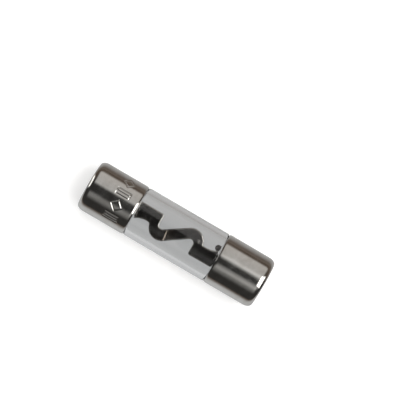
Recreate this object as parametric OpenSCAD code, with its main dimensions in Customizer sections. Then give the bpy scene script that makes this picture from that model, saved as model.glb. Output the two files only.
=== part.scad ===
// Glass cartridge fuse, 13/32 in x 1-1/2 in: a necked glass tube, two drawn caps cemented over its ends,
// and one stamped strip element that is folded over the ends of the glass and soldered to both caps.
// The fuse lies along X with its middle at the origin. The strip lies flat in the XY plane.

/* [Fuse] */
// Length over both end caps
fuse_length = 38.1; // [37:0.1:39]

/* [End caps] */
// Outside diameter of each cap
cap_diameter = 10.3; // [10.2:0.05:10.6]
// Length of each cap along the fuse
cap_length = 10.2; // [9.6:0.1:10.6]
// Thickness of the drawn sheet
cap_wall = 0.3; // [0.2:0.05:0.35]
// How far the rounding into the end face reaches in from the side
cap_corner = 0.8; // [0.6:0.1:1]
// How far the same rounding reaches along the cap
cap_corner_length = 1.4; // [1:0.1:1.8]
// How far the mouth curls in
mouth_curl = 0.15; // [0.05:0.01:0.18]
// Depth of the marks stamped into the left cap
mark_depth = 0.07; // [0.04:0.01:0.1]
// Width of the line that draws each stamped mark
mark_line = 0.24; // [0.16:0.02:0.3]

/* [Glass tube] */
// Outside diameter of the glass between the caps
glass_diameter = 10.2; // [10:0.05:10.3]
// Diameter of the bore
glass_bore = 8.1; // [7.6:0.1:8.3]
// Thickness of the cement between a cap and the neck of the glass
cement_gap = 0.1; // [0.05:0.01:0.15]

/* [Element] */
// Thickness of the strip
strip_thickness = 0.4; // [0.25:0.05:0.5]
// Width of the strip's end tabs
tab_width = 4.36; // [4:0.02:4.6]
// Width of the strip along the S
neck_width = 2.2; // [2:0.02:2.3]
// Slope of the middle of the S, in degrees
neck_angle = 34.5; // [33:0.5:36]
// Distance from the middle of the fuse to the middle of each S bend
bend_distance = 3; // [2.9:0.05:3.1]
// Inside radius of each S bend
bend_radius = 0.7; // [0.6:0.05:0.8]
// Outside radius of each S bend
bend_outer = 2.5; // [2.4:0.02:2.56]
// Least height of a tab's inner edge above the axis, just past the S bend
waist_height = 0.68; // [0.6:0.02:0.76]

/* [Solder] */
// Thickness of the solder between a folded tab and its cap
solder_thickness = 0.3; // [0.2:0.05:0.4]
// Radius of the solder pad
solder_radius = 3.4; // [2.5:0.1:3.8]

/* [Hidden] */

arc_steps = 16;
curl_steps = 8;
round_faces = 96;
cut_margin = 1;

half_length = fuse_length / 2;
cap_radius = cap_diameter / 2;
cap_bore_radius = cap_radius - cap_wall;
cap_rim = half_length - cap_length;
curl_radius = 1;
curl_angle = acos(1 - mouth_curl / curl_radius);
curl_length = curl_radius * sin(curl_angle);

glass_radius = glass_diameter / 2;
bore_radius = glass_bore / 2;
neck_radius = cap_bore_radius - cement_gap;
shoulder_gap = 0.05;
shoulder_end = cap_rim - shoulder_gap;
shoulder_radius = glass_radius - neck_radius;
glass_half_length = half_length - cap_wall - solder_thickness - strip_thickness;
glass_end_round = 0.2;
cement_inset = 0.15;
cement_start = cap_rim + cement_inset;
cement_end = half_length - cap_corner_length - cement_inset;

// The S: a straight stretch through the middle, whose two edges run on as arcs around the bends.
inner_centre = bend_centre(-neck_width / 2, bend_radius);
outer_centre = bend_centre(neck_width / 2, bend_outer);
tab_corner = 0.45;
flare_radius = 4.1;
flare_offset = 3.2;
flare_centre = [bend_distance + flare_offset, waist_height + flare_radius];
waist_fillet = 0.4;
fold_radius = 0.3;
fold_start = glass_half_length - fold_radius;
fold_height = strip_thickness / 2 + fold_radius;
leaf_inset = 0.15;
leaf_radius = neck_radius - leaf_inset;

// Stamped marks: a diamond and a fuse symbol by turns, in a row around the left cap.
mark_angles = [-50, -20, 10, 40];
mark_offset = 3.5;
mark_centre = cap_rim + mark_offset;
diamond_radius = 1.1;
symbol_length = 3;
symbol_width = 1.5;

// The stray bead near the mouth of the right cap, against the flared edge of the tab. The gap clears the
// short straight steps of that edge.
bead_radius = 0.66;
bead_place = [cap_rim - 0.6, 1.8, -0.1];
bead_gap = 0.01;

// Points along an arc, from angle a to angle b.
function arc(centre, radius, a, b, steps = arc_steps) =
    [for (i = [0 : steps])
        let (t = a + (b - a) * i / steps) centre + radius * [cos(t), sin(t)]];

// Points along a quarter of an ellipse that is the given width and length, from its side to its end.
function quarter_ellipse(centre, width, length, steps = arc_steps) =
    [for (i = [0 : steps]) let (t = 90 * i / steps) centre + [width * cos(t), length * sin(t)]];

function reversed(points) = [for (i = [len(points) - 1 : -1 : 0]) points[i]];

function angle_of(v) = atan2(v[1], v[0]);

// The centre of a bend's arc that one edge of the straight stretch runs into. The edge lies a signed
// distance from the middle of the stretch.
function bend_centre(edge, radius) =
    [bend_distance, (edge - radius + bend_distance * sin(neck_angle)) / cos(neck_angle)];

// Where circles of radius r1 around c1 and r2 around c2 meet, on the right-hand side of c1 to c2.
function circles_meet(c1, r1, c2, r2) =
    let (d = norm(c2 - c1),
         u = (c2 - c1) / d,
         along = (r1 * r1 - r2 * r2 + d * d) / (2 * d),
         aside = sqrt(r1 * r1 - along * along))
    c1 + along * u + aside * [u[1], -u[0]];

// Turns children that were made along Z so that they lie along X.
module along_x() rotate([0, 90, 0]) children();

// A ring or disc around the X axis, from x = a to x = b.
module ring(outer, inner, a, b) {
    along_x() translate([0, 0, a]) difference() {
        cylinder(r = outer, h = b - a, $fn = round_faces);
        if (inner > 0)
            translate([0, 0, -cut_margin])
                cylinder(r = inner, h = b - a + 2 * cut_margin, $fn = round_faces);
    }
}

// Half section of the glass, as radius against position: a full-size middle and a neck at each end.
module glass_section() {
    end_centre = [neck_radius - glass_end_round, glass_half_length - glass_end_round];
    shoulder_centre = [neck_radius, shoulder_end - shoulder_radius];
    upper = concat(
        arc(shoulder_centre, shoulder_radius, 0, 90),
        arc(end_centre, glass_end_round, 0, 90),
        [[bore_radius, glass_half_length]]);
    lower = [for (point = reversed(upper)) [point[0], -point[1]]];
    polygon(concat(upper, lower));
}

module glass_tube() {
    color([0.84, 0.88, 0.88, 0.35])
        along_x() rotate_extrude($fn = round_faces) glass_section();
}

// Half section of a cap, as radius against position, with its end face outwards along X. The mouth
// curls in, and the side runs into the end face along an ellipse.
module cap_section() {
    side_end = half_length - cap_corner_length;
    outside = concat(
        arc([cap_radius - curl_radius, cap_rim + curl_length], curl_radius, -curl_angle, 0, curl_steps),
        quarter_ellipse([cap_radius - cap_corner, side_end], cap_corner, cap_corner_length),
        [[0, half_length]]);
    inside = concat(
        [[0, half_length - cap_wall]],
        reversed(quarter_ellipse([cap_radius - cap_corner, side_end],
                                 cap_corner - cap_wall, cap_corner_length - cap_wall)),
        [[cap_bore_radius, cap_rim]]);
    polygon(concat(outside, inside));
}

module cap_shell() {
    along_x() rotate_extrude($fn = round_faces) cap_section();
}

// The outline of a diamond, seen from above.
module diamond_mark(height) {
    difference() {
        cylinder(r = diamond_radius + mark_line / 2, h = height, $fn = 4);
        translate([0, 0, -cut_margin])
            cylinder(r = diamond_radius - mark_line / 2, h = height + 2 * cut_margin, $fn = 4);
    }
}

// The drawing symbol of a fuse: an oblong with a line through its length.
module symbol_mark(height) {
    difference() {
        translate([-symbol_length / 2, -symbol_width / 2, 0])
            cube([symbol_length, symbol_width, height]);
        for (side = [-1, 1])
            translate([-symbol_length / 2 + mark_line,
                       side > 0 ? mark_line / 2 : -symbol_width / 2 + mark_line, -cut_margin])
                cube([symbol_length - 2 * mark_line, (symbol_width - 3 * mark_line) / 2,
                      height + 2 * cut_margin]);
    }
}

// What the stamp removes: the marks, down to a constant depth under the round side of the cap.
module stamped_marks() {
    intersection() {
        for (i = [0 : len(mark_angles) - 1])
            rotate([mark_angles[i], 0, 0])
                translate([mark_centre, 0, cap_radius / 2])
                    if (i % 2 == 0) diamond_mark(cap_radius);
                    else symbol_mark(cap_radius);
        ring(cap_radius + cut_margin, cap_radius - mark_depth, cap_rim, half_length);
    }
}

module right_cap() {
    color([0.62, 0.6, 0.56]) cap_shell();
}

module left_cap() {
    color([0.62, 0.6, 0.56]) rotate([0, 0, 180]) difference() {
        cap_shell();
        stamped_marks();
    }
}

// The lower edge of the strip, from the fold at the right to the fold at the left. The upper edge is the
// same line turned half way round.
function strip_edge() =
    let (fillet_centre = circles_meet(outer_centre, bend_outer + waist_fillet,
                                      flare_centre, flare_radius - waist_fillet),
         bend_to_fillet = angle_of(fillet_centre - outer_centre),
         flare_to_fillet = angle_of(fillet_centre - flare_centre),
         flare_end = asin((tab_width / 2 - flare_centre[1]) / flare_radius))
    concat(
        [[fold_start, -tab_width / 2]],
        arc([inner_centre[0] + bend_radius + tab_corner, tab_corner - tab_width / 2], tab_corner, 270, 180),
        arc(inner_centre, bend_radius, 0, 90 + neck_angle),
        arc(-outer_centre, bend_outer, neck_angle - 90, bend_to_fillet - 180),
        arc(-fillet_centre, waist_fillet, bend_to_fillet, flare_to_fillet + 180),
        arc(-flare_centre, flare_radius, flare_to_fillet + 180, flare_end + 180),
        [[-fold_start, -tab_width / 2]]);

// The flat of the strip, from fold to fold.
module flat_strip() {
    edge = strip_edge();
    translate([0, 0, -strip_thickness / 2])
        linear_extrude(strip_thickness) polygon(concat(edge, -edge));
}

// The right-angled fold at the end of the strip.
module folded_end() {
    translate([fold_start, tab_width / 2, fold_height]) rotate([90, 0, 0])
        rotate_extrude(angle = 90, start = -90, $fn = round_faces)
            translate([fold_radius, 0]) square([strip_thickness, tab_width]);
}

// The leaf beyond the fold, which lies against the end of the glass.
module leaf() {
    intersection() {
        translate([glass_half_length, -tab_width / 2, fold_height])
            cube([strip_thickness, tab_width, leaf_radius]);
        ring(leaf_radius, 0, 0, half_length);
    }
}

module fuse_element() {
    color([0.17, 0.16, 0.15]) union() {
        flat_strip();
        for (turn = [0, 180]) rotate([0, 0, turn]) {
            folded_end();
            leaf();
        }
    }
}

module cement() {
    color([0.72, 0.69, 0.62]) ring(cap_bore_radius, neck_radius, cement_start, cement_end);
}

module right_cement() cement();
module left_cement() rotate([0, 0, 180]) cement();

module solder() {
    color([0.55, 0.55, 0.56])
        ring(solder_radius, 0, half_length - cap_wall - solder_thickness, half_length - cap_wall);
}

module right_solder() solder();
module left_solder() rotate([0, 0, 180]) solder();

// A stray bead of solder that froze against the flared edge of the tab.
module solder_bead() {
    color([0.25, 0.24, 0.23]) intersection() {
        translate(bead_place) sphere(r = bead_radius, $fn = 48);
        translate([flare_centre[0], flare_centre[1], -cap_radius])
            cylinder(r = flare_radius - bead_gap, h = cap_diameter, $fn = round_faces);
    }
}

glass_tube();
left_cap();
right_cap();
fuse_element();
left_cement();
right_cement();
left_solder();
right_solder();
solder_bead();
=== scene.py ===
import math

import bmesh
import bpy
import numpy as np
from mathutils import Matrix, Vector, geometry


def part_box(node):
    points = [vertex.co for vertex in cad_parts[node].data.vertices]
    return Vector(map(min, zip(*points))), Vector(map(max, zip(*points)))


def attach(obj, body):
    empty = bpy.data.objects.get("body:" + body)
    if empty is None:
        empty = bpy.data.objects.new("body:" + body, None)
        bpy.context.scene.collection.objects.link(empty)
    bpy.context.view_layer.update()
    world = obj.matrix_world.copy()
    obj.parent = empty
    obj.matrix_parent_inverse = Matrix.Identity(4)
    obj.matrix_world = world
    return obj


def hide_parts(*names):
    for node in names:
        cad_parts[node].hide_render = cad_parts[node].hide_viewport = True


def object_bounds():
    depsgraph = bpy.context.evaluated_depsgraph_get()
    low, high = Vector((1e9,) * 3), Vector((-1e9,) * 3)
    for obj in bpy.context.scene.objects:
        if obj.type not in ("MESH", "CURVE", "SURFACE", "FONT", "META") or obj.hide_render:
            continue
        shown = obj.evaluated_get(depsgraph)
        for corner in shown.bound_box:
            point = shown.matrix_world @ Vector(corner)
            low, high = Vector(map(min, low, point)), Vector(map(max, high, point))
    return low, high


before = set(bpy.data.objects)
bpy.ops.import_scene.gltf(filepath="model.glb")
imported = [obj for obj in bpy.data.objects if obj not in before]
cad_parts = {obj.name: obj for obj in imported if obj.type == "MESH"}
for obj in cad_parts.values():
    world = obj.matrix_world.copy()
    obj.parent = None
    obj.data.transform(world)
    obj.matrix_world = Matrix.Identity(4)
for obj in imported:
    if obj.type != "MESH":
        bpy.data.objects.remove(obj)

CAD_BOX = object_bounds()
MM = 0.001


# ---------------------------------------------------------------- sizes
# Most come from the frame. The plain numbers are sizes that its boxes don't show, as in the CAD source.
def extent(node):
    """A CAD node's box as its low and its high corner, in millimetres."""
    low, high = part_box(node)
    return [c / MM for c in low], [c / MM for c in high]


CAP_LOW, CAP_HIGH = extent("right_cap")
HALF_LENGTH = CAP_HIGH[0]
CAP_RIM = CAP_LOW[0]
CAP_RADIUS = CAP_HIGH[1]
CEMENT_LOW, CEMENT_HIGH = extent("right_cement")
CAP_BORE = CEMENT_HIGH[1]
CAP_WALL = CAP_RADIUS - CAP_BORE
CAP_CORNER, CAP_CORNER_LENGTH = 0.8, 1.4
MOUTH_CURL, CURL_RADIUS = 0.15, 1.0
GLASS_HIGH = extent("glass_tube")[1]
GLASS_HALF = GLASS_HIGH[0]
GLASS_RADIUS = GLASS_HIGH[1]
GLASS_BORE = 4.05
CEMENT_GAP = 0.1
NECK_RADIUS = CAP_BORE - CEMENT_GAP
STRIP_HIGH = extent("fuse_element")[1]
STRIP_THICKNESS = STRIP_HIGH[0] - GLASS_HALF
TAB_HALF_WIDTH = 2.18
LEAF_RADIUS = STRIP_HIGH[2]
SOLDER_LOW, SOLDER_HIGH = extent("right_solder")
BEAD_LOW, BEAD_HIGH = extent("solder_bead")


# ---------------------------------------------------------------- mesh helpers
def new_object(name, points_mm, faces, smooth=True):
    """A mesh object from points in millimetres."""
    mesh = bpy.data.meshes.new(name)
    mesh.from_pydata([[c * MM for c in p] for p in points_mm], [], faces)
    mesh.validate()
    bm = bmesh.new()
    bm.from_mesh(mesh)
    bmesh.ops.remove_doubles(bm, verts=bm.verts, dist=1e-7)
    bmesh.ops.recalc_face_normals(bm, faces=bm.faces)
    bm.to_mesh(mesh)
    bm.free()
    for face in mesh.polygons:
        face.use_smooth = smooth
    obj = bpy.data.objects.new(name, mesh)
    bpy.context.scene.collection.objects.link(obj)
    return obj


def arc(centre, radius, start, end, steps):
    """Points along an arc, in degrees."""
    angles = [math.radians(start + (end - start) * i / steps) for i in range(steps + 1)]
    return [(centre[0] + radius * math.cos(a), centre[1] + radius * math.sin(a)) for a in angles]


def quarter_ellipse(centre, along, out, steps):
    """Points along a quarter ellipse, from furthest out to furthest along."""
    angles = [math.radians(90 * i / steps) for i in range(steps + 1)]
    return [(centre[0] + along * math.sin(a), centre[1] + out * math.cos(a)) for a in angles]


def line(start, end, steps):
    """Points from start towards end, without the last."""
    return [(start[0] + (end[0] - start[0]) * i / steps, start[1] + (end[1] - start[1]) * i / steps)
            for i in range(steps)]


def revolve(name, section, sides, closed, shape=None):
    """Turns a section of (x, radius) pairs around the X axis. shape moves a point by where it is."""
    points, rings = [], []
    for x, radius in section:
        if radius < 1e-6:
            rings.append([len(points)])
            points.append((x, 0.0, 0.0))
            continue
        ring = []
        for i in range(sides):
            angle = 2 * math.pi * i / sides
            far = radius if shape is None else shape(x, radius, angle)
            ring.append(len(points))
            points.append((x, far * math.sin(angle), far * math.cos(angle)))
        rings.append(ring)
    faces = []
    pairs = list(zip(rings, rings[1:])) + ([(rings[-1], rings[0])] if closed else [])
    for a, b in pairs:
        for i in range(sides):
            j = (i + 1) % sides
            if len(a) == 1 and len(b) == 1:
                break
            if len(a) == 1:
                faces.append((a[0], b[j], b[i]))
            elif len(b) == 1:
                faces.append((a[i], a[j], b[0]))
            else:
                faces.append((a[i], a[j], b[j], b[i]))
    return new_object(name, points, faces)


def smooth_step(low, high, value):
    """Rises from 0 at low to 1 at high, with a soft start and end."""
    t = min(max((value - low) / (high - low), 0.0), 1.0)
    return t * t * (3 - 2 * t)


# ---------------------------------------------------------------- node helpers
class Nodes:
    """Short calls for building a node tree."""

    def __init__(self, tree):
        self.tree = tree
        tree.nodes.clear()

    def add(self, kind, settings=None, **inputs):
        node = self.tree.nodes.new(kind)
        for key, value in (settings or {}).items():
            setattr(node, key, value)
        for key, value in inputs.items():
            self.put(node, key.replace("_", " "), value)
        return node

    def put(self, node, socket, value):
        target = node.inputs[socket]
        if isinstance(value, bpy.types.NodeSocket):
            self.tree.links.new(value, target)
        else:
            target.default_value = value

    def math(self, operation, a, b=0.0):
        node = self.add("ShaderNodeMath", {"operation": operation})
        self.put(node, 0, a)
        self.put(node, 1, b)
        return node.outputs[0]

    def ramp(self, value, stops):
        node = self.add("ShaderNodeValToRGB")
        elements = node.color_ramp.elements
        while len(elements) < len(stops):
            elements.new(0.5)
        for element, (place, colour) in zip(elements, stops):
            element.position = place
            element.color = (*colour, 1)
        self.put(node, 0, value)
        return node.outputs[0]

    def noise(self, vector, scale, detail=3.0, roughness=0.5):
        node = self.add("ShaderNodeTexNoise", Scale=scale, Detail=detail, Roughness=roughness)
        self.put(node, "Vector", vector)
        return node.outputs["Fac"]

    def stretched(self, vector, scale):
        node = self.add("ShaderNodeMapping", Vector=vector, Scale=scale)
        return node.outputs[0]

    def map_range(self, value, low, high, to_low, to_high, interpolation="LINEAR"):
        node = self.add("ShaderNodeMapRange", {"interpolation_type": interpolation})
        for socket, number in enumerate((value, low, high, to_low, to_high)):
            self.put(node, socket, number)
        return node.outputs[0]

    def smooth_range(self, *numbers):
        """Like map_range, with a soft start and end."""
        return self.map_range(*numbers, interpolation="SMOOTHSTEP")

    def tint(self, colour, level):
        """A colour times a level."""
        node = self.add("ShaderNodeVectorMath", {"operation": "SCALE"}, Vector=colour, Scale=level)
        return node.outputs[0]

    def mix(self, factor, a, b):
        node = self.add("ShaderNodeMix", {"data_type": "RGBA"})
        self.put(node, 0, factor)
        self.put(node, 6, a)
        self.put(node, 7, b)
        return node.outputs[2]

    def bump(self, height, distance, strength, normal=None):
        node = self.add("ShaderNodeBump", Strength=strength, Distance=distance)
        self.put(node, "Height", height)
        if normal is not None:
            self.put(node, "Normal", normal)
        return node.outputs[0]


def material(name):
    """A new material, its node builder, its Principled shader and object coordinates in millimetres."""
    mat = bpy.data.materials.new(name)
    mat.use_nodes = True
    nodes = Nodes(mat.node_tree)
    shader = nodes.add("ShaderNodeBsdfPrincipled")
    output = nodes.add("ShaderNodeOutputMaterial")
    nodes.tree.links.new(shader.outputs[0], output.inputs[0])
    metres = nodes.add("ShaderNodeTexCoord").outputs["Object"]
    return mat, nodes, shader, nodes.stretched(metres, (1 / MM, 1 / MM, 1 / MM))


# ---------------------------------------------------------------- materials
# How far left of the middle the strip's lighter brownish patch is strongest: painted light on the face that
# bends past the crease.
LIT_PATCH_PLACE = 1.2
# The strip's mesh attribute that says where its rolled edges get a painted highlight, a lighter base colour
# than the dark face, from 0 to 1.
PAINTED_EDGE_HIGHLIGHT = "painted_edge_highlight"


def nickel_plate():
    """Bright nickel over drawn brass: fine draw lines along the cap, patchy haze, small pits and scuffs."""
    mat, n, shader, mm = material("nickel_plate")
    cloud = n.noise(mm, 0.55, 4.0, 0.6)
    draw_lines = n.noise(n.stretched(mm, (0.5, 9, 9)), 1.0, 4.0, 0.6)
    specks = n.noise(mm, 9.0, 3.0, 0.7)
    tones = [(0.3, (0.60, 0.585, 0.555)), (0.55, (0.68, 0.672, 0.65)), (0.75, (0.73, 0.725, 0.705))]
    pits = n.map_range(specks, 0.66, 0.74, 0.0, 0.6)
    n.put(shader, "Base Color", n.mix(pits, n.ramp(cloud, tones), (0.22, 0.17, 0.13, 1)))
    n.put(shader, "Metallic", 1.0)
    haze = n.map_range(cloud, 0.35, 0.75, 0.07, 0.17)
    n.put(shader, "Roughness", n.math("ADD", haze, n.map_range(draw_lines, 0.4, 0.8, 0.0, 0.08)))
    fine = n.bump(draw_lines, 0.000005, 0.3)
    n.put(shader, "Normal", n.bump(specks, 0.000003, 0.3, fine))
    return mat


def clear_glass():
    """Soda-lime tube: clear, with faint drawing streaks along it."""
    mat, n, shader, mm = material("clear_glass")
    n.put(shader, "Base Color", (0.972, 0.976, 0.974, 1))
    n.put(shader, "Transmission Weight", 1.0)
    n.put(shader, "IOR", 1.5)
    smudge = n.noise(mm, 0.9, 4.0, 0.6)
    n.put(shader, "Roughness", n.map_range(smudge, 0.5, 0.8, 0.0, 0.035))
    streaks = n.noise(n.stretched(mm, (0.08, 1.4, 1.4)), 1.0, 2.0, 0.5)
    n.put(shader, "Normal", n.bump(streaks, 0.00002, 0.2))
    return mat


def strip_metal():
    """Rolled and stamped strip: dark and smooth, with rolling lines, a lighter brownish patch in the S that
    paints light on its bent face, and a painted highlight on its rolled edges.
    """
    mat, n, shader, mm = material("strip_metal")
    cloud = n.noise(mm, 0.35, 3.0, 0.5)
    lines = n.noise(n.stretched(mm, (0.6, 14, 6)), 1.0, 3.0, 0.6)
    grey = n.ramp(cloud, [(0.3, (0.13, 0.125, 0.12)), (0.7, (0.19, 0.182, 0.175))])
    # A lighter brownish patch left of the middle: painted light where the strip's face bends past the
    # crease.
    along = n.add("ShaderNodeSeparateXYZ", Vector=mm).outputs[0]
    away = n.math("ABSOLUTE", n.math("ADD", along, LIT_PATCH_PLACE))
    lit_patch = n.smooth_range(away, 0.2, 1.6, 0.6, 0.0)
    face = n.mix(lit_patch, grey, (0.20, 0.155, 0.12, 1))
    edge = n.add("ShaderNodeAttribute", {"attribute_name": PAINTED_EDGE_HIGHLIGHT}).outputs["Fac"]
    # The rolled edges get a lighter base colour: a painted highlight.
    n.put(shader, "Base Color", n.mix(edge, face, (0.42, 0.41, 0.395, 1)))
    n.put(shader, "Metallic", 1.0)
    n.put(shader, "Roughness", n.math("ADD", n.map_range(cloud, 0.3, 0.8, 0.13, 0.19),
                                      n.map_range(lines, 0.4, 0.8, 0.0, 0.05)))
    n.put(shader, "Normal", n.bump(lines, 0.000003, 0.25))
    return mat


def solder_and_reflection_metal(name, low, high):
    """Frozen solder: dull, mottled and slightly rippled. Its near-black copy is a painted reflection."""
    mat, n, shader, mm = material(name)
    grain = n.noise(mm, 3.5, 5.0, 0.65)
    n.put(shader, "Base Color", n.ramp(grain, [(0.3, low), (0.7, high)]))
    n.put(shader, "Metallic", 1.0)
    n.put(shader, "Roughness", n.map_range(grain, 0.3, 0.8, 0.25, 0.5))
    n.put(shader, "Normal", n.bump(grain, 0.00003, 0.4))
    return mat


def cement_paste():
    """Cured cement: matte, grainy and off-white."""
    mat, n, shader, mm = material("cement")
    grain = n.noise(mm, 6.0, 5.0, 0.7)
    n.put(shader, "Base Color", n.ramp(grain, [(0.3, (0.42, 0.39, 0.33)), (0.7, (0.62, 0.59, 0.52))]))
    n.put(shader, "Roughness", n.map_range(grain, 0.3, 0.8, 0.6, 0.85))
    n.put(shader, "Normal", n.bump(grain, 0.00006, 0.6))
    return mat


# ---------------------------------------------------------------- end caps
# The marked cap is made at the right end and then turned to the left. Its marks are the outline of a
# diamond and a fuse's drawing symbol, by turns. MARK_REACH is past any mark, and MARK_EXTENT is how far
# along the cap the close rings go.
MARK_CENTRE = CAP_RIM + 3.5
MARK_DEPTH = 0.07
MARK_LINE = 0.24
MARK_ANGLES = (-50, -20, 10, 40)
DIAMOND_RADIUS = 1.1
SYMBOL_LENGTH, SYMBOL_WIDTH = 3.0, 1.5
GROOVE_REACH = 0.18
MARK_REACH = 2.5
MARK_EXTENT = 1.8
SIDE_TOLERANCE = 0.02
FAR_AWAY = 9.0
# The shallow dish in the cap's end: its depth, then points down its edge, each as a share of the depth
# and how far in from the corner. Last come where its floor starts and the share that the middle keeps.
DISH_DEPTH = 0.05
DISH_EDGE = ((0.1, 0.15), (0.5, 0.35), (1.0, 0.6))
DISH_FLAT, DISH_MIDDLE = 0.9, 0.8
# How near the end's middle its rings go, the gaps where one stretch of the section meets the next, and
# how many degrees of the mouth's curl are left to the lip.
INNER_RING = 0.3
SIDE_GAP, BORE_GAP = 0.05, 0.1
LIP_TRIM = 4
MARKED_SIDES, PLAIN_SIDES = 480, 240


def distance_to_box(u, v, half_u, half_v):
    """Signed distance to an oblong outline."""
    du, dv = abs(u) - half_u, abs(v) - half_v
    outside = math.hypot(max(du, 0), max(dv, 0))
    return outside + min(max(du, dv), 0)


def groove_distance(x, angle):
    """How far a point on the cap's side is from the nearest mark's line."""
    nearest = FAR_AWAY
    for i, degrees in enumerate(MARK_ANGLES):
        turn = (angle - math.radians(degrees) + math.pi) % (2 * math.pi) - math.pi
        u, v = x - MARK_CENTRE, turn * CAP_RADIUS
        if max(abs(u), abs(v)) > MARK_REACH:
            continue
        if i % 2 == 0:
            spread = (abs(u) + abs(v) - DIAMOND_RADIUS) / math.sqrt(2)
            nearest = min(nearest, abs(spread))
        else:
            half_u, half_v = (SYMBOL_LENGTH - MARK_LINE) / 2, (SYMBOL_WIDTH - MARK_LINE) / 2
            nearest = min(nearest, abs(distance_to_box(u, v, half_u, half_v)))
            nearest = min(nearest, math.hypot(max(abs(u) - half_u, 0), v))
    return nearest


def stamped(x, radius, angle):
    """The radius of the marked cap's side, with a rounded valley along each mark."""
    if radius < CAP_RADIUS - SIDE_TOLERANCE or abs(x - MARK_CENTRE) > MARK_REACH:
        return radius
    return radius - MARK_DEPTH * (1 - smooth_step(0.0, GROOVE_REACH, groove_distance(x, angle)))


def side_line(start, end, marked):
    """Points along a cap's straight side, close together only where the marks are."""
    if not marked:
        return line((start, CAP_RADIUS), (end, CAP_RADIUS), 40)
    low, high = MARK_CENTRE - MARK_EXTENT, MARK_CENTRE + MARK_EXTENT
    side = line((start, CAP_RADIUS), (low, CAP_RADIUS), 8)
    side += line((low, CAP_RADIUS), (high, CAP_RADIUS), 80)
    return side + line((high, CAP_RADIUS), (end, CAP_RADIUS), 10)


def cap_section(marked):
    """Half section of a drawn cap: curled mouth, straight side, elliptical corner and a dished end."""
    end, side_end = HALF_LENGTH, HALF_LENGTH - CAP_CORNER_LENGTH
    flat = CAP_RADIUS - CAP_CORNER
    curl = math.degrees(math.acos(1 - MOUTH_CURL / CURL_RADIUS))
    curl_length = CURL_RADIUS * math.sin(math.radians(curl))
    edge = (CAP_WALL - MOUTH_CURL) / 2
    outside = arc((CAP_RIM + edge, CAP_BORE + edge), edge, 180, 110, 4)
    curl_centre = (CAP_RIM + curl_length, CAP_RADIUS - CURL_RADIUS)
    outside += arc(curl_centre, CURL_RADIUS, 90 + curl - LIP_TRIM, 90, 12)
    outside += side_line(CAP_RIM + curl_length + SIDE_GAP, side_end, marked)
    outside += quarter_ellipse((side_end, flat), CAP_CORNER_LENGTH, CAP_CORNER, 24)
    outside += [(end - DISH_DEPTH * share, flat - back) for share, back in DISH_EDGE]
    middle = end - DISH_DEPTH * DISH_MIDDLE
    outside += line((end - DISH_DEPTH, flat - DISH_FLAT), (middle, INNER_RING), 8) + [(middle, 0)]
    inside = [(end - CAP_WALL, 0)] + line((end - CAP_WALL, INNER_RING), (end - CAP_WALL, flat), 6)
    inner = quarter_ellipse((side_end, flat), CAP_CORNER_LENGTH - CAP_WALL, CAP_CORNER - CAP_WALL, 14)
    inside += inner[::-1]
    inside += line((side_end - BORE_GAP, CAP_BORE), (CAP_RIM + edge, CAP_BORE), 10)
    inside += arc((CAP_RIM + edge, CAP_BORE + edge), edge, 270, 190, 4)
    return outside + inside


def make_cap(name, marked):
    sides = MARKED_SIDES if marked else PLAIN_SIDES
    cap = revolve(name, cap_section(marked), sides, True, stamped if marked else None)
    if marked:
        cap.data.transform(Matrix.Rotation(math.pi, 4, "Z"))
    return cap


# ---------------------------------------------------------------- glass
# How far the drawn tube's outside and its bore wander, in two waves each.
OUTSIDE_WANDER = (0.006, 0.004)
BORE_WANDER = (0.02, 0.012)
WANDER_MARGIN = 0.1
SHOULDER_CLEARANCE = 0.05
GLASS_FILLET = 0.2
NECK_GAP, GLASS_BORE_GAP = 0.2, 0.4


def glass_shape(x, radius, angle):
    """Drawn tube: the bore and the outside wander by hundredths of a millimetre, and the neck is true."""
    if radius > NECK_RADIUS + WANDER_MARGIN:
        big, small = OUTSIDE_WANDER
        wander = big * math.sin(3 * angle + 0.35 * x) + small * math.sin(2 * angle - 0.2 * x)
        return radius - (big + small) + wander
    if radius < GLASS_BORE + WANDER_MARGIN:
        big, small = BORE_WANDER
        return radius + big * math.sin(2 * angle + 0.8) + small * math.sin(5 * angle + 0.15 * x)
    return radius


def make_glass():
    """The tube: full size in the middle, with a rounded shoulder and a neck at each end."""
    shoulder = GLASS_RADIUS - NECK_RADIUS
    shoulder_end = CAP_RIM - SHOULDER_CLEARANCE
    fillet = GLASS_FILLET
    half = line((0, GLASS_RADIUS), (shoulder_end - shoulder, GLASS_RADIUS), 24)
    half += arc((shoulder_end - shoulder, NECK_RADIUS), shoulder, 90, 0, 10)
    half += line((shoulder_end + NECK_GAP, NECK_RADIUS), (GLASS_HALF - fillet, NECK_RADIUS), 12)
    half += arc((GLASS_HALF - fillet, NECK_RADIUS - fillet), fillet, 90, 0, 8)
    half += arc((GLASS_HALF - fillet, GLASS_BORE + fillet), fillet, 0, -90, 8)
    inner = line((GLASS_HALF - fillet - GLASS_BORE_GAP, GLASS_BORE), (0, GLASS_BORE), 30) + [(0, GLASS_BORE)]
    right = half + inner
    left = [(-x, r) for x, r in reversed(right[1:-1])]
    return revolve("glass_body", right + left, 192, True, glass_shape)


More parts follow.
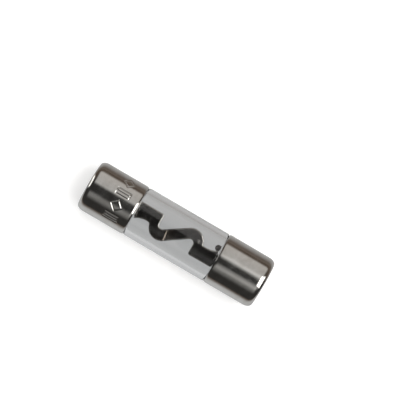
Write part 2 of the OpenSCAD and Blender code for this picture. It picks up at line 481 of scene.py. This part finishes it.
# ---------------------------------------------------------------- strip element
NECK_WIDTH, NECK_ANGLE = 2.2, 34.5
BEND_DISTANCE, BEND_RADIUS, BEND_OUTER = 3.0, 0.7, 2.5
TAB_CORNER = 0.45
FLARE_RADIUS, FLARE_OFFSET, WAIST_HEIGHT, WAIST_FILLET = 4.1, 3.2, 0.68, 0.4
FOLD_RADIUS = 0.3
FOLD_START = GLASS_HALF - FOLD_RADIUS
FOLD_HEIGHT = STRIP_THICKNESS / 2 + FOLD_RADIUS
FOLD_MIDDLE = FOLD_RADIUS + STRIP_THICKNESS / 2
FOLD_ARC = FOLD_MIDDLE * math.pi / 2
OUTLINE_STEP = 0.09
CORNER_STEPS = 3
GRID_STEP = 0.14
GRID_CLEAR = 0.6
ROLL_WIDTH, ROLL_DEPTH = 0.28, 0.16
# The part of the roll that is gone on the leaf, and how far before the fold it starts and ends fading.
ROLL_LOST, ROLL_FADE = 0.9, (0.8, 0.1)
BURR = 0.03
# The strip's border that gets the painted highlight, in widths of the roll: where it starts fading and where
# it ends.
HIGHLIGHT_FADE = (0.6, 1.1)
CREASE_PLACE, CREASE_WIDTH, CREASE_HEIGHT = -1.95, 0.09, 0.055
CREASE_REACH, CREASE_STEP = 0.6, 0.04
CREASE_SLANT, CREASE_END = 0.12, (-0.6, 0.2)
DIMPLE_PLACE, DIMPLE_SIZE, DIMPLE_DEPTH = (4.75, 0.95), (0.35, 0.6), 0.05
BOW_HEIGHT, BOW_TURN, BOW_START, BOW_REACH = 0.035, 0.55, 0.4, 7


def bend_centre(edge, radius):
    """Where a bend's centre stands, so that its arc touches the slanting neck's edge."""
    tilt = math.radians(NECK_ANGLE)
    return BEND_DISTANCE, (edge - radius + BEND_DISTANCE * math.sin(tilt)) / math.cos(tilt)


def circles_meet(c1, r1, c2, r2):
    """Where two circles meet, on the right-hand side of c1 to c2."""
    dx, dy = c2[0] - c1[0], c2[1] - c1[1]
    apart = math.hypot(dx, dy)
    ux, uy = dx / apart, dy / apart
    along = (r1 * r1 - r2 * r2 + apart * apart) / (2 * apart)
    aside = math.sqrt(r1 * r1 - along * along)
    return c1[0] + along * ux + aside * uy, c1[1] + along * uy - aside * ux


def direction(a, b):
    """The direction from a to b, in degrees."""
    return math.degrees(math.atan2(b[1] - a[1], b[0] - a[0]))


def strip_outline():
    """The unfolded strip's outline, evenly stepped, anticlockwise. Its ends reach round the folds."""
    inner, outer = bend_centre(-NECK_WIDTH / 2, BEND_RADIUS), bend_centre(NECK_WIDTH / 2, BEND_OUTER)
    flare = (BEND_DISTANCE + FLARE_OFFSET, WAIST_HEIGHT + FLARE_RADIUS)
    fillet = circles_meet(outer, BEND_OUTER + WAIST_FILLET, flare, FLARE_RADIUS - WAIST_FILLET)
    to_bend, to_flare = direction(outer, fillet), direction(flare, fillet)
    flare_end = math.degrees(math.asin((TAB_HALF_WIDTH - flare[1]) / FLARE_RADIUS))
    turned = [(-x, -y) for x, y in (outer, fillet, flare)]
    leaf_x = FOLD_START + FOLD_ARC - FOLD_HEIGHT
    leaf_angle = math.degrees(math.asin(TAB_HALF_WIDTH / LEAF_RADIUS))
    lower = arc((leaf_x, 0), LEAF_RADIUS, 0, -leaf_angle, 12)
    corner = (inner[0] + BEND_RADIUS + TAB_CORNER, TAB_CORNER - TAB_HALF_WIDTH)
    lower += arc(corner, TAB_CORNER, 270, 180, 16)
    lower += arc(inner, BEND_RADIUS, 0, 90 + NECK_ANGLE, 24)
    lower += arc(turned[0], BEND_OUTER, NECK_ANGLE - 90, to_bend - 180, 40)
    lower += arc(turned[1], WAIST_FILLET, to_bend, to_flare + 180, 12)
    lower += arc(turned[2], FLARE_RADIUS, to_flare + 180, flare_end + 180, 40)
    lower += arc((-leaf_x, 0), LEAF_RADIUS, 180 + leaf_angle, 180, 12)
    whole = lower[:-1] + [(-x, -y) for x, y in lower[:-1]]
    return resample(whole[::-1], OUTLINE_STEP)


def resample(points, step):
    """Even steps around a closed line."""
    loop = np.array(points + points[:1])
    reach = np.concatenate([[0], np.cumsum(np.hypot(*np.diff(loop, axis=0).T))])
    count = int(reach[-1] / step)
    places = np.linspace(0, reach[-1], count, endpoint=False)
    return np.stack([np.interp(places, reach, loop[:, i]) for i in (0, 1)], -1)


def roll_share(outline):
    """How much of the rolled edge each point has: all of it on the flat, hardly any on the sharp leaf."""
    start, end = (FOLD_START - before for before in ROLL_FADE)
    return np.array([1 - ROLL_LOST * smooth_step(start, end, abs(x)) for x, y in outline])


def inset(outline, distance):
    """The outline moved inwards by a distance for each point. Its directions are averaged over a few
    points, so that the moved line doesn't cross itself at a corner."""
    steps = np.roll(outline, -1, 0) - np.roll(outline, 1, 0)
    tangent = sum(np.roll(steps, shift, 0) for shift in range(-CORNER_STEPS, CORNER_STEPS + 1))
    tangent /= np.linalg.norm(tangent, axis=1)[:, None]
    inward = np.stack([-tangent[:, 1], tangent[:, 0]], -1)
    x, y = outline.T
    area = np.sum(x * np.roll(y, -1) - y * np.roll(x, -1)) / 2
    return outline + inward * distance[:, None] * (1 if area > 0 else -1)


def relief(x, y):
    """Small heights of the strip's faces: a crease across the S, a shallow dimple and a slight bow."""
    away = x - CREASE_PLACE + CREASE_SLANT * y
    crease = CREASE_HEIGHT * math.exp(-(away / CREASE_WIDTH) ** 2) * (1 - smooth_step(*CREASE_END, y))
    along, across = ((c - middle) / size for c, middle, size in zip((x, y), DIMPLE_PLACE, DIMPLE_SIZE))
    dimple = -DIMPLE_DEPTH * math.exp(-(along ** 2 + across ** 2))
    bow = BOW_HEIGHT * math.sin(BOW_TURN * x + BOW_START) * math.exp(-(x / BOW_REACH) ** 2)
    return crease + dimple + bow


def folded(x, y, z):
    """Bends a point of the straight strip round the fold at its end."""
    side = 1 if x > 0 else -1
    along = abs(x) - FOLD_START
    if along <= 0:
        return x, y, z
    radius = FOLD_MIDDLE - z
    if along < FOLD_ARC:
        turn = along / FOLD_MIDDLE
        return side * (FOLD_START + radius * math.sin(turn)), y, FOLD_HEIGHT - radius * math.cos(turn)
    return side * (FOLD_START + radius), y, FOLD_HEIGHT + along - FOLD_ARC


def columns(low, high):
    """Where the grid's columns stand: close together at the crease, wider elsewhere."""
    place = low
    found = []
    while place < high:
        found.append(place)
        place += CREASE_STEP if abs(place - CREASE_PLACE) < CREASE_REACH else GRID_STEP
    return found


def fill(loop):
    """Triangles inside a closed line, over a grid of inner points."""
    edges = [(i, (i + 1) % len(loop)) for i in range(len(loop))]
    low, high = loop.min(0), loop.max(0)
    clear = GRID_STEP * GRID_CLEAR
    grid = []
    for gx in columns(low[0] + GRID_STEP / 2, high[0]):
        for gy in np.arange(low[1] + GRID_STEP / 2, high[1], GRID_STEP):
            if np.hypot(loop[:, 0] - gx, loop[:, 1] - gy).min() > clear:
                grid.append((gx, gy))
    points = [Vector(p) for p in list(map(tuple, loop)) + grid]
    made = geometry.delaunay_2d_cdt(points, edges, [], 1, 1e-7)
    return [tuple(v) for v in made[0]], [tuple(f) for f in made[2]]


def mark_painted_edge_highlight(strip, outline):
    """Stores how near each point of the flat stretch is to the stamped edge, as its share of the painted
    highlight.
    """
    highlight_share = strip.data.attributes.new(PAINTED_EDGE_HIGHLIGHT, "FLOAT", "POINT")
    start, end = (ROLL_WIDTH * share for share in HIGHLIGHT_FADE)
    for v in strip.data.vertices:
        x, y = v.co.x / MM, v.co.y / MM
        if abs(x) < FOLD_START:
            away = np.hypot(outline[:, 0] - x, outline[:, 1] - y).min()
            highlight_share.data[v.index].value = 1 - smooth_step(start, end, away)


def make_strip():
    """One stamped piece: rounded upper edges where the punch rolled them, crisp lower edges."""
    outline = strip_outline()
    half = STRIP_THICKNESS / 2
    rings = [(half - ROLL_DEPTH + ROLL_DEPTH * math.sin(a), ROLL_WIDTH - ROLL_WIDTH * math.cos(a))
             for a in (math.radians(90 * i / 10) for i in range(10, -1, -1))]
    rings += [(-half + BURR, 0.0), (-half + BURR * 0.3, BURR * 0.3), (-half, BURR)]
    share = roll_share(outline)
    points, faces, base = [], [], []
    for height, back in rings:
        base.append(len(points))
        points += [(x, y, height) for x, y in inset(outline, back * share)]
    count = len(outline)
    for a, b in zip(base, base[1:]):
        faces += [(a + i, b + i, b + (i + 1) % count, a + (i + 1) % count) for i in range(count)]
    for height, back in (rings[0], rings[-1]):
        flat, triangles = fill(inset(outline, back * share))
        start = len(points)
        points += [(x, y, height) for x, y in flat]
        faces += [tuple(start + i for i in f) for f in triangles]
    lifted = [(x, y, z + relief(x, y)) for x, y, z in points]
    strip = new_object("s_strip", [folded(*p) for p in lifted], faces)
    mark_painted_edge_highlight(strip, outline)
    return strip


# ---------------------------------------------------------------- solder and cement
BEAD_SHRINK, BEAD_RIPPLE, BEAD_SWELL, BEAD_SEED = 0.94, 0.03, 0.02, 0.7
POOL_SHRINK, POOL_WAVES = 0.965, (0.02, 0.012)
POOL_RIM, POOL_MENISCUS, POOL_BACK_RIM = 0.4, 0.15, 0.2
# The cement's clearance from the metal and the glass, the shape of its front edge, and how ragged it is.
FILM_CLEARANCE = 0.005
FILM_START, FILM_NOSE = 0.1, 0.04
RAGGED_DEPTH, RAGGED_WAVES, RAGGED_SHIFT = 0.6, (0.05, 0.04), 0.05


def lump(name, low, high):
    """A lump for the painted reflection: an icosphere with a wavy skin, fitted inside a box."""
    bm = bmesh.new()
    bmesh.ops.create_icosphere(bm, subdivisions=5, radius=1.0)
    middle = [(a + b) / 2 for a, b in zip(low, high)]
    half = [(b - a) / 2 for a, b in zip(low, high)]
    for v in bm.verts:
        d = v.co.normalized()
        ripple = BEAD_RIPPLE * math.sin(5 * d.x + BEAD_SEED) * math.sin(4 * d.y + 1.3)
        swell = BEAD_SHRINK + ripple + BEAD_SWELL * math.sin(7 * d.z + BEAD_SEED)
        v.co = Vector([(middle[i] + half[i] * d[i] * swell) * MM for i in range(3)])
    mesh = bpy.data.meshes.new(name)
    bm.to_mesh(mesh)
    bm.free()
    for face in mesh.polygons:
        face.use_smooth = True
    obj = bpy.data.objects.new(name, mesh)
    bpy.context.scene.collection.objects.link(obj)
    return obj


def make_solder(name, side):
    """A pool that wetted the inside of the cap's end: a wavy round edge and a soft meniscus."""
    radius, low, high = SOLDER_HIGH[1], SOLDER_LOW[0], SOLDER_HIGH[0]

    def wavy(x, r, angle):
        big, small = POOL_WAVES
        return r * (POOL_SHRINK + big * math.sin(3 * angle + 1) + small * math.sin(7 * angle))

    section = [(low, 0)] + line((low, POOL_RIM), (low, radius - POOL_RIM), 8)
    section += arc((low + POOL_MENISCUS, radius - POOL_MENISCUS), POOL_MENISCUS, 180, 90, 6)
    section += [(high, radius)]
    section += line((high, radius - POOL_BACK_RIM), (high, POOL_RIM), 8) + [(high, 0)]
    pool = revolve(name, section, 128, False, wavy)
    if side < 0:
        pool.data.transform(Matrix.Rotation(math.pi, 4, "Z"))
    return pool


def make_cement(name, side):
    """The film of cement, with an uneven edge just inside the cap's mouth."""
    low, high = CEMENT_LOW[0], CEMENT_HIGH[0]
    outer, inner = CAP_BORE - FILM_CLEARANCE, NECK_RADIUS + FILM_CLEARANCE
    start = low + FILM_START
    section = line((start, outer), (high, outer), 20) + line((high, outer), (high, inner), 2)
    section += line((high, inner), (start, inner), 20) + [(start, inner)]
    section += [(low + FILM_NOSE, (outer + inner) / 2)]
    film = revolve(name, section, 160, True)
    for v in film.data.vertices:
        x = v.co.x / MM
        edge = 1 - smooth_step(low, low + RAGGED_DEPTH, x)
        angle = math.atan2(v.co.y, v.co.z)
        big, small = RAGGED_WAVES
        v.co.x += MM * edge * (big * math.sin(9 * angle) + small * math.sin(23 * angle + 1) + RAGGED_SHIFT)
    if side < 0:
        film.data.transform(Matrix.Rotation(math.pi, 4, "Z"))
    return film


# ---------------------------------------------------------------- put the pieces in place
def place(piece, node, slot_name, mat):
    """Gives a piece its material, hangs it on the root body and hides the CAD node that it stands for."""
    piece.data.materials.clear()
    piece.data.materials.append(mat)
    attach(piece, "root")
    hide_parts(node)


def build():
    """Makes every piece of the fuse."""
    nickel, glass, strip = nickel_plate(), clear_glass(), strip_metal()
    bright = solder_and_reflection_metal("bright_solder", (0.34, 0.34, 0.35), (0.60, 0.60, 0.61))
    # The near-black copy of the solder material is a painted reflection, for the lump below.
    dark = solder_and_reflection_metal("dark_solder", (0.05, 0.047, 0.044), (0.13, 0.124, 0.118))
    cement = cement_paste()
    place(make_cap("marked_cap", True), "left_cap", "nickel_plate", nickel)
    place(make_cap("plain_cap", False), "right_cap", "nickel_plate", nickel)
    place(make_glass(), "glass_tube", "clear_glass", glass)
    place(make_strip(), "fuse_element", "element_alloy", strip)
    place(make_solder("solder_pool_left", -1), "left_solder", "solder", bright)
    place(make_solder("solder_pool_right", 1), "right_solder", "solder", bright)
    place(make_cement("cement_film_left", -1), "left_cement", "cement", cement)
    place(make_cement("cement_film_right", 1), "right_cement", "cement", cement)
    # The near-black lump in the right cap's mouth is a painted reflection of the tab in the glass, not a
    # real piece.
    place(lump("painted_reflection_bead", BEAD_LOW, BEAD_HIGH), "solder_bead", "dark_solder", dark)


# ---------------------------------------------------------------- studio
# The camera's sizes are in metres, apart from its sensor, which is in millimetres.
CAMERA_HEIGHT = 0.300
CAMERA_ROLL = 30.31
FIELD_WIDTH = 0.0762
SENSOR = 36.0
# Where the view's middle falls on the fuse's own plane, along and across the fuse.
VIEW_CENTRE = (0.00061, 0.00793)
CLIP_START = 0.01


def make_camera():
    """Looks straight down, rolled so that the fuse slants as in the photograph."""
    data = bpy.data.cameras.new("camera")
    data.sensor_width = SENSOR
    data.lens = SENSOR * CAMERA_HEIGHT / FIELD_WIDTH
    data.clip_start = CLIP_START
    camera = bpy.data.objects.new("camera", data)
    camera.location = (*VIEW_CENTRE, CAMERA_HEIGHT)
    camera.rotation_euler = (0, 0, math.radians(CAMERA_ROLL))
    bpy.context.scene.collection.objects.link(camera)
    bpy.context.scene.camera = camera


def band(n, value, low, high, strength, low_edge, high_edge):
    """Brightness that is on between two soft borders, and off outside them."""
    rises = n.smooth_range(value, low - low_edge / 2, low + low_edge / 2, 0.0, 1.0)
    falls = n.smooth_range(value, high - high_edge / 2, high + high_edge / 2, 1.0, 0.0)
    return n.math("MULTIPLY", n.math("MULTIPLY", rises, falls), strength)


# The two floors: how far below the fuse each one lies and how far it reaches, in millimetres.
SEEN_DEPTH, SEEN_REACH = 0.005, 600
MIRRORED_DEPTH, MIRRORED_REACH = 0.03, 110
SEEN_COLOUR, MIRRORED_COLOUR = (0.86, 0.86, 0.86), (0.05, 0.05, 0.05)
SEEN_GLOW = (0.36, 0.36, 0.36, 1)
FLOOR_SHADE = 0.985


def floor_plane(name, height, size, colour, glow):
    """A flat square of floor. glow makes its emission from the node builder and the coordinates."""
    points = [(-size, -size, height), (size, -size, height), (size, size, height), (-size, size, height)]
    plane = new_object(name, points, [(0, 1, 2, 3)], smooth=False)
    mat, n, shader, mm = material(name)
    grain = n.noise(mm, 0.05, 2.0)
    shade = tuple(c * FLOOR_SHADE for c in colour)
    n.put(shader, "Base Color", n.ramp(grain, [(0.3, shade), (0.7, colour)]))
    n.put(shader, "Roughness", 0.8)
    n.put(shader, "Specular IOR Level", 0.1)
    n.put(shader, "Emission Color", glow(n, mm))
    n.put(shader, "Emission Strength", 1.0)
    plane.data.materials.append(mat)
    return plane


# The pale card under the fuse, as the metal and the glass see it: the middles of its two soft borders
# across the fuse and how wide each border is. The table beyond it is brownish.
CARD = dict(low=-32, low_edge=50, high=12, high_edge=36, strength=1.0)
PAPER = (0.615, 0.622, 0.628, 1)
TABLE = (0.125, 0.098, 0.080, 1)
# The fuse's own soft shadow on the card, which falls away from the softbox: where its middle is across
# the fuse, how far its even part and its border reach to each side, and how bright its middle is.
SHADOW_MIDDLE, SHADOW_HALF, SHADOW_REACH, SHADOW_LEVEL = -3, 2, 12, 0.76


def even_glow(n, mm):
    """The same glow all over the floor that the camera sees."""
    return SEEN_GLOW


def card_glow(n, mm):
    """The card, the table beyond it and the fuse's shadow, by how far across the fuse they lie."""
    across = n.add("ShaderNodeSeparateXYZ", Vector=mm).outputs[1]
    away = n.math("ABSOLUTE", n.math("SUBTRACT", across, SHADOW_MIDDLE))
    shade = n.smooth_range(away, SHADOW_HALF, SHADOW_REACH, SHADOW_LEVEL, 1.0)
    return n.tint(n.mix(band(n, across, **CARD), TABLE, PAPER), shade)


def make_floor():
    """The floor that the camera sees, and a greyer one under it that the glass and the metal see."""
    top = CAD_BOX[0][2] / MM
    seen = floor_plane("floor_seen", top - SEEN_DEPTH, SEEN_REACH, SEEN_COLOUR, even_glow)
    seen.visible_diffuse = seen.visible_glossy = seen.visible_transmission = False
    below = top - MIRRORED_DEPTH
    mirrored = floor_plane("floor_mirrored", below, MIRRORED_REACH, MIRRORED_COLOUR, card_glow)
    mirrored.visible_camera = False


# The studio around the fuse. Angles are in degrees from straight up, towards +Y.
SOFTBOX = dict(low=18, high=80, low_edge=12, high_edge=12, strength=0.48)
STRIP_LIGHT = dict(low=-48, high=-24, low_edge=24, high_edge=16, strength=0.20)
# A smaller pair of lights right of the camera, which only the right half of the fuse looks into.
RIGHT_PAIR = (dict(low=11, high=31, low_edge=12, high_edge=16, strength=0.28),
              dict(low=-34, high=-14, low_edge=14, high_edge=12, strength=0.30))
RIGHT_START, RIGHT_EDGE = 0.02, 0.06
OVERHEAD = (0.032, 0.031, 0.030, 1)
FAR_SIDE = (0.115, 0.088, 0.070, 1)
NEAR_SIDE = (0.040, 0.038, 0.036, 1)
# Where the room turns from its near side to its far side, and from overhead to the sides, in degrees.
SIDE_TURN, ROOM_TURN = 20, (15, 90)
WARM = (1.0, 0.985, 0.962)
# The part of a direction along the fuse at which the panels fade out towards the ends.
PANEL_ENDS = (0.3, 0.55)
BACKDROP = (0.86, 0.86, 0.87, 1)
# The lamps beyond the two ends, as the part of a direction that points to the end and the part that
# points across the fuse.
RIGHT_LAMP = dict(near=0.24, far=0.74, low=-0.26, high=0.50, strength=3.5)
LEFT_LAMP = dict(near=0.82, far=0.96, low=-0.15, high=0.45, strength=2.0)
LAMP_EDGE = 0.08


def lamp(n, along, across, near, far, low, high, strength):
    """A soft-edged oblong light beyond one end of the fuse."""
    reach = band(n, along, near, far, 1.0, LAMP_EDGE, LAMP_EDGE)
    return n.math("MULTIPLY", band(n, across, low, high, strength, LAMP_EDGE, LAMP_EDGE), reach)


def make_world():
    """The studio that lights the fuse and the floor. The camera sees a plain pale backdrop in its place."""
    world = bpy.data.worlds.new("studio")
    bpy.context.scene.world = world
    world.use_nodes = True
    n = Nodes(world.node_tree)
    ways = n.add("ShaderNodeSeparateXYZ", Vector=n.add("ShaderNodeTexCoord").outputs["Generated"])
    along = ways.outputs[0]
    across = n.math("MULTIPLY", n.math("ARCTAN2", ways.outputs[1], ways.outputs[2]), math.degrees(1))
    side = n.mix(n.map_range(across, -SIDE_TURN, SIDE_TURN, 0.0, 1.0), NEAR_SIDE, FAR_SIDE)
    room = n.mix(n.map_range(n.math("ABSOLUTE", across), *ROOM_TURN, 0.0, 1.0), OVERHEAD, side)
    panels = n.math("ADD", band(n, across, **SOFTBOX), band(n, across, **STRIP_LIGHT))
    pair = n.math("ADD", *(band(n, across, **light) for light in RIGHT_PAIR))
    right = n.smooth_range(along, RIGHT_START - RIGHT_EDGE / 2, RIGHT_START + RIGHT_EDGE / 2, 0.0, 1.0)
    panels = n.math("ADD", panels, n.math("MULTIPLY", pair, right))
    ends = n.smooth_range(n.math("ABSOLUTE", along), *PANEL_ENDS, 1.0, 0.0)
    lamps = n.math("ADD", lamp(n, along, ways.outputs[1], **RIGHT_LAMP),
                   lamp(n, n.math("MULTIPLY", along, -1.0), ways.outputs[1], **LEFT_LAMP))
    light = n.math("ADD", n.math("MULTIPLY", panels, ends), lamps)
    total = n.add("ShaderNodeVectorMath", {"operation": "ADD"})
    n.put(total, 0, room)
    n.put(total, 1, n.tint(WARM, light))
    path = n.add("ShaderNodeLightPath")
    shown = n.mix(path.outputs["Is Camera Ray"], total.outputs[0], BACKDROP)
    background = n.add("ShaderNodeBackground", Color=shown)
    output = n.add("ShaderNodeOutputWorld")
    n.tree.links.new(background.outputs[0], output.inputs[0])


# The overhead light's width in metres, its power in watts and its place in metres.
FILL_WIDTH, FILL_POWER, FILL_PLACE = 0.5, 1.6, (0.05, 0.1, 0.45)


def make_fill():
    """A broad soft light overhead for the floor, kept out of reflections."""
    data = bpy.data.lights.new("overhead", "AREA")
    data.size = FILL_WIDTH
    data.energy = FILL_POWER
    light = bpy.data.objects.new("overhead", data)
    light.location = FILL_PLACE
    light.visible_glossy = light.visible_transmission = light.visible_camera = False
    bpy.context.scene.collection.objects.link(light)


bpy.context.scene.view_settings.view_transform = "Standard"
make_camera()
make_world()
make_fill()
make_floor()
build()
